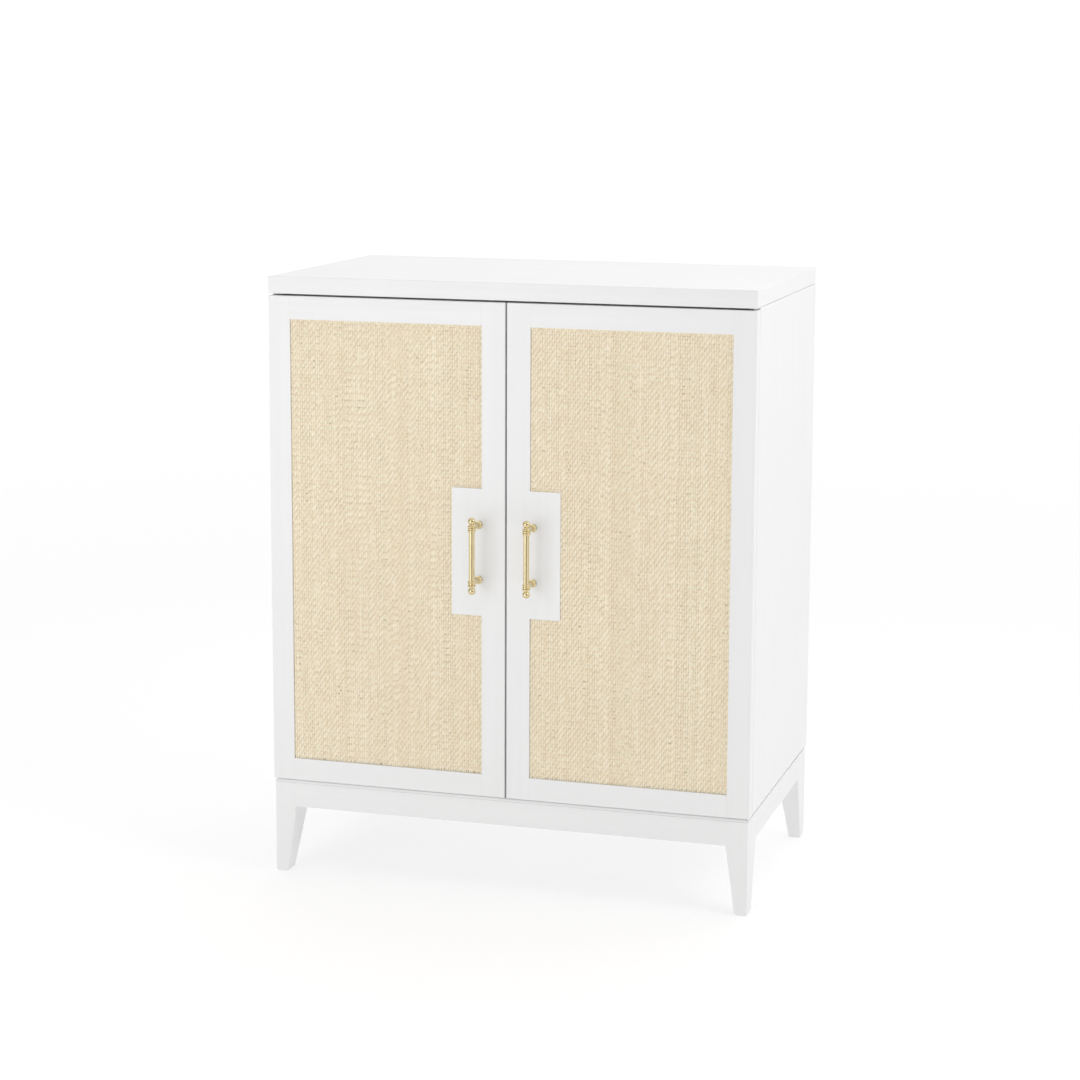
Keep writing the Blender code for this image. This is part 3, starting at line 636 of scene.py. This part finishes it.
def post_profile(reach):
    """A post of a pull: a rosette on the door, a flare, a collar and the end at the bar."""
    foot_radius = ROSETTE_RADIUS - FLARE_FOOT_INSET
    collar = reach - BEAD_RADIUS - COLLAR_OFFSET
    post = [
        (0.0, 0.0),
        (ROSETTE_RADIUS - ROSETTE_FOOT_BEVEL, 0.0),
        (ROSETTE_RADIUS, ROSETTE_FOOT_BEVEL),
        (ROSETTE_RADIUS, ROSETTE_RIM),
    ]
    rounding = (ROSETTE_ROUNDING, ROSETTE_ROUNDING)
    post += arc((ROSETTE_RADIUS - ROSETTE_ROUNDING, ROSETTE_RIM), rounding, 0.0, QUARTER, 4)
    post.append((ROSETTE_RADIUS - ROSETTE_TOP_INSET, ROSETTE_TOP))
    post.append((foot_radius, FLARE_FOOT))
    for i in range(1, FLARE_STEPS + 1):
        t = i / FLARE_STEPS
        spread = (foot_radius - POST_RADIUS) * (1.0 - t) ** FLARE_POWER
        post.append((POST_RADIUS + spread, FLARE_FOOT + (FLARE_TOP - FLARE_FOOT) * t))
    post.append((POST_RADIUS, FLARE_TOP + SUPPORT_LOOP))
    post.append((POST_RADIUS, collar - COLLAR_HALF_WIDTH - SUPPORT_LOOP))
    post.append((POST_RADIUS, collar - COLLAR_HALF_WIDTH))
    post += arc((POST_RADIUS, collar), (COLLAR_RISE, COLLAR_HALF_WIDTH), -QUARTER, QUARTER, 6)
    post.append((POST_END_RADIUS, reach - BEAD_RADIUS))
    post.append((POST_END_RADIUS, reach - POST_END))
    post.append((0.0, reach - POST_END))
    return post


def ring_radius(profile, height):
    """The bar's radius at a height along it."""
    heights = [h for _, h in profile]
    radii = [r for r, _ in profile]
    return float(np.interp(height, heights, radii))


def build_pull(side_name, materials):
    """One brass pull: a turned bar on two posts with rosettes."""
    door = f"{side_name}_door"
    bar = f"{side_name}_pull_bar"
    bar_low, bar_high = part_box(bar)
    centre = (bar_low + bar_high) / 2
    levels = {}
    for level in ("lower", "upper"):
        low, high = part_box(f"{side_name}_pull_{level}_post")
        levels[level] = ((low.z + high.z) / 2, high.y)
    profile = bar_profile((levels["upper"][0] - levels["lower"][0]) / 2)
    mesh = lathe(f"{bar}_turned", profile)
    mesh.transform(Matrix.Translation(centre))
    add_piece(f"{bar}_turned", mesh, materials["brass"], door, (bar,))
    for level, (z, foot_y) in levels.items():
        post = f"{side_name}_pull_{level}_post"
        reach = foot_y - centre.y
        mesh = lathe(f"{post}_turned", post_profile(reach))
        mesh.transform(Matrix.Rotation(QUARTER, 4, "X"))
        for vertex in mesh.vertices:
            if vertex.co.y < -(reach - SADDLE_DEPTH):
                radius = ring_radius(profile, (z - centre.z) + vertex.co.z)
                across = min(abs(vertex.co.x), radius)
                vertex.co.y = -reach + math.sqrt(radius ** 2 - across ** 2) - SADDLE_SINK
        mesh.transform(Matrix.Translation((centre.x, foot_y, z)))
        add_piece(f"{post}_turned", mesh, materials["brass"], door, (post,))


# ---------------------------------------------------------------- boards

JOINT_CLOSING = 0.00028
GROOVE_FLOOR_Z = 0.1673
GROOVE_DEPTH = 0.0090
GROOVE_DEPTH_BESIDE_HINGE = 0.0024
GROOVE_OVERCUT = 0.002


def grain_axis(name):
    """The key of the lacquer whose grain runs along the board."""
    if name in ("left_apron", "right_apron"):
        return "lacquer_y"
    across = ("rail", "shelf", "top_slab", "apron", "case_ceiling_panel", "case_floor_panel")
    if any(word in name for word in across):
        return "lacquer_x"
    return "lacquer_z"


def world_copy(name):
    """A CAD node's mesh in world coordinates, without its material."""
    node = NODES[name]
    mesh = node.data.copy()
    mesh.transform(node.matrix_world)
    mesh.materials.clear()
    return mesh


def close_joints(materials):
    """The glued rails and aprons again, a hair longer, so that no painted joint shows a gap."""
    for name in list(NODES):
        if not name.endswith(("_rail", "_apron")):
            continue
        axis = 1 if name in ("left_apron", "right_apron") else 0
        mesh = world_copy(name)
        low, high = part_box(name)
        middle = (low[axis] + high[axis]) / 2
        for vertex in mesh.vertices:
            vertex.co[axis] += math.copysign(JOINT_CLOSING, vertex.co[axis] - middle)
        body = name.split("_")[0] + "_door" if "_door_" in name else "cabinet"
        material = materials[grain_axis(name)]
        add_piece(f"{name}_fitted", mesh, material, body, (name,))


def cut_box(mesh, low, high):
    """A mesh with a box taken away from it."""
    xs, ys, zs = zip(low, high)
    bm = bmesh.new()
    corners = [bm.verts.new((x, y, z)) for x in xs for y in ys for z in zs]
    bmesh.ops.convex_hull(bm, input=corners)
    bmesh.ops.recalc_face_normals(bm, faces=bm.faces)
    box_mesh = bpy.data.meshes.new("groove")
    bm.to_mesh(box_mesh)
    bm.free()
    box = bpy.data.objects.new("groove", box_mesh)
    work = bpy.data.objects.new("work", mesh)
    for obj in (box, work):
        bpy.context.scene.collection.objects.link(obj)
    modifier = work.modifiers.new("cut", "BOOLEAN")
    modifier.operation, modifier.solver, modifier.object = "DIFFERENCE", "EXACT", box
    bpy.context.view_layer.update()
    cut = work.evaluated_get(bpy.context.evaluated_depsgraph_get())
    result = bpy.data.meshes.new_from_object(cut)
    bpy.data.objects.remove(work)
    bpy.data.objects.remove(box)
    return result


def groove_base(materials):
    """The base board again, with a shadow groove along each side, under the side panel."""
    low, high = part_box("base_board")
    case_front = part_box("right_side_panel")[0].y
    mesh = world_copy("base_board")
    back, top = high.y + GROOVE_OVERCUT, high.z + GROOVE_OVERCUT
    cuts = (
        (GROOVE_DEPTH, case_front),
        (GROOVE_DEPTH_BESIDE_HINGE, low.y - GROOVE_OVERCUT),
    )
    for side in (-1, 1):
        for depth, front in cuts:
            xs = sorted((side * (high.x - depth), side * (high.x + GROOVE_OVERCUT)))
            mesh = cut_box(mesh, (xs[0], front, GROOVE_FLOOR_Z), (xs[1], back, top))
    name = "base_board_grooved"
    mesh.name = name
    mesh.materials.clear()
    add_piece(name, mesh, materials["lacquer_x"], "cabinet", ("base_board",))


def finish_of(name):
    """The key of the material that a CAD node wears."""
    if "screw" in name or "leaf" in name or "strike" in name:
        return "steel"
    if "shelf_pin" in name or "pull" in name:
        return "brass"
    if "catch" in name:
        return "plastic"
    if "woven" in name:
        return "warp"
    return grain_axis(name)


def dress_nodes(materials):
    """Give every CAD node that stays a detailed material."""
    for name, obj in NODES.items():
        chosen = materials[finish_of(name)]
        if not obj.material_slots:
            obj.data.materials.append(chosen)
        for slot in obj.material_slots:
            slot.material = chosen


# ---------------------------------------------------------------- stage and light

FLOOR_HALF = 40.0
FLOOR_WHITE = 0.50
FLOOR_GLOW = 0.53
FLOOR_GLOW_FAR = 0.62
FLOOR_GLOW_MIRRORED = 0.42
FLOOR_NEAR, FLOOR_FAR = 2.5, 9.0
CARD_GLOW = 0.40
CEILING_LIGHT = 0.96
BACKDROP_LIGHT = 1.00
BACKGROUND_SEEN = 1.1
WHITE = (1.0, 1.0, 1.0, 1.0)

# Azimuth and elevation in degrees, distance, aim, size and watts.
KEY_LIGHT = (-24.0, 9.0, 3.2, (0.0, -0.2, 0.6), (2.0, 2.1), 24.5)
RIGHT_LIGHT = (78.0, 30.0, 3.6, (0.1, 0.0, 0.6), (2.0, 2.0), 30.0)

CARD_AZIMUTH = math.radians(16.0)
CARD_DISTANCE = 2.2
CARD_HALF_WIDTH = 0.95
CARD_HEIGHT = 1.3


def make_floor():
    """A plain pale floor that runs out of sight."""
    mesh = bpy.data.meshes.new("floor")
    h = FLOOR_HALF
    mesh.from_pydata([(-h, -h, 0), (h, -h, 0), (h, h, 0), (-h, h, 0)], [], [(0, 1, 2, 3)])
    floor = bpy.data.objects.new("floor", mesh)
    bpy.context.scene.collection.objects.link(floor)
    material, n = new_material("pale_floor")
    diffuse = n.add("ShaderNodeBsdfDiffuse", {"Color": (*[FLOOR_WHITE] * 3, 1.0)})
    place = n.add("ShaderNodeTexCoord").outputs["Object"]
    distance = n.add("ShaderNodeVectorMath", {0: place}, operation="LENGTH").outputs["Value"]
    strength = n.remap(distance, FLOOR_NEAR, FLOOR_FAR, FLOOR_GLOW, FLOOR_GLOW_FAR)
    path = n.add("ShaderNodeLightPath")
    dimming = n.math("MULTIPLY", path.outputs["Is Glossy Ray"], FLOOR_GLOW_MIRRORED - FLOOR_GLOW)
    strength = n.math("ADD", strength, dimming)
    glow = n.add("ShaderNodeEmission", {"Color": WHITE, "Strength": strength})
    both = n.add("ShaderNodeAddShader", {0: diffuse.outputs[0], 1: glow.outputs[0]})
    n.add("ShaderNodeOutputMaterial", {"Surface": both.outputs[0]})
    mesh.materials.append(material)


def make_world():
    """A white studio: bright above and behind, dim in front where the camera stands."""
    world = bpy.data.worlds.new("studio")
    bpy.context.scene.world = world
    world.use_nodes = True
    n = Nodes(world.node_tree)
    direction = n.add("ShaderNodeTexCoord").outputs["Generated"]
    parts = n.add("ShaderNodeSeparateXYZ", {"Vector": direction})
    above = n.math("MULTIPLY", n.math("MAXIMUM", parts.outputs["Z"]), CEILING_LIGHT)
    behind = n.math("MULTIPLY", n.math("MAXIMUM", parts.outputs["Y"]), BACKDROP_LIGHT)
    lit = n.add("ShaderNodeBackground", {"Strength": n.math("ADD", above, behind)})
    lit.inputs["Color"].default_value = WHITE
    seen = n.add("ShaderNodeBackground", {"Color": WHITE, "Strength": BACKGROUND_SEEN})
    path = n.add("ShaderNodeLightPath")
    both = n.add(
        "ShaderNodeMixShader",
        {0: path.outputs["Is Camera Ray"], 1: lit.outputs[0], 2: seen.outputs[0]},
    )
    n.add("ShaderNodeOutputWorld", {"Surface": both.outputs[0]})


def add_softbox(name, azimuth, elevation, distance, aim, size, power):
    """A rectangular area light at a bearing from its aim. Azimuth 0 is straight in front."""
    data = bpy.data.lights.new(name, "AREA")
    data.shape = "RECTANGLE"
    data.size, data.size_y = size
    data.energy = power
    light = bpy.data.objects.new(name, data)
    light.visible_camera = False
    bpy.context.scene.collection.objects.link(light)
    turn, rise = math.radians(azimuth), math.radians(elevation)
    bearing = Vector((
        math.sin(turn) * math.cos(rise), -math.cos(turn) * math.cos(rise), math.sin(rise),
    ))
    light.location = Vector(aim) + distance * bearing
    light.rotation_euler = (-bearing).to_track_quat("-Z", "Y").to_euler()


def make_lights():
    """A wide soft key at the left front and a softbox high at the right."""
    add_softbox("key", *KEY_LIGHT)
    add_softbox("right", *RIGHT_LIGHT)


def make_grey_card():
    """A grey card that only reflections show, on the floor in front, to give the brass shape."""
    ahead = Vector((math.sin(CARD_AZIMUTH), -math.cos(CARD_AZIMUTH), 0.0))
    centre = CARD_DISTANCE * ahead
    along = Vector((-ahead.y, ahead.x, 0.0)) * CARD_HALF_WIDTH
    up = Vector((0.0, 0.0, CARD_HEIGHT))
    mesh = bpy.data.meshes.new("grey_card")
    corners = [centre - along, centre + along, centre + along + up, centre - along + up]
    mesh.from_pydata([tuple(corner) for corner in corners], [], [(0, 1, 2, 3)])
    card = bpy.data.objects.new("grey_card", mesh)
    bpy.context.scene.collection.objects.link(card)
    material, n = new_material("grey_card")
    glow = n.add("ShaderNodeEmission", {"Color": WHITE, "Strength": CARD_GLOW})
    n.add("ShaderNodeOutputMaterial", {"Surface": glow.outputs[0]})
    mesh.materials.append(material)
    card.visible_camera = False
    card.visible_diffuse = False
    card.visible_shadow = False


# ---------------------------------------------------------------- build

make_camera()
bpy.context.scene.view_settings.view_transform = "Standard"
MATERIALS = make_materials()
for side_name, side in SIDES:
    build_weave(side_name, side, MATERIALS)
    build_pull(side_name, MATERIALS)
close_joints(MATERIALS)
groove_base(MATERIALS)
dress_nodes(MATERIALS)
make_floor()
make_world()
make_lights()
make_grey_card()
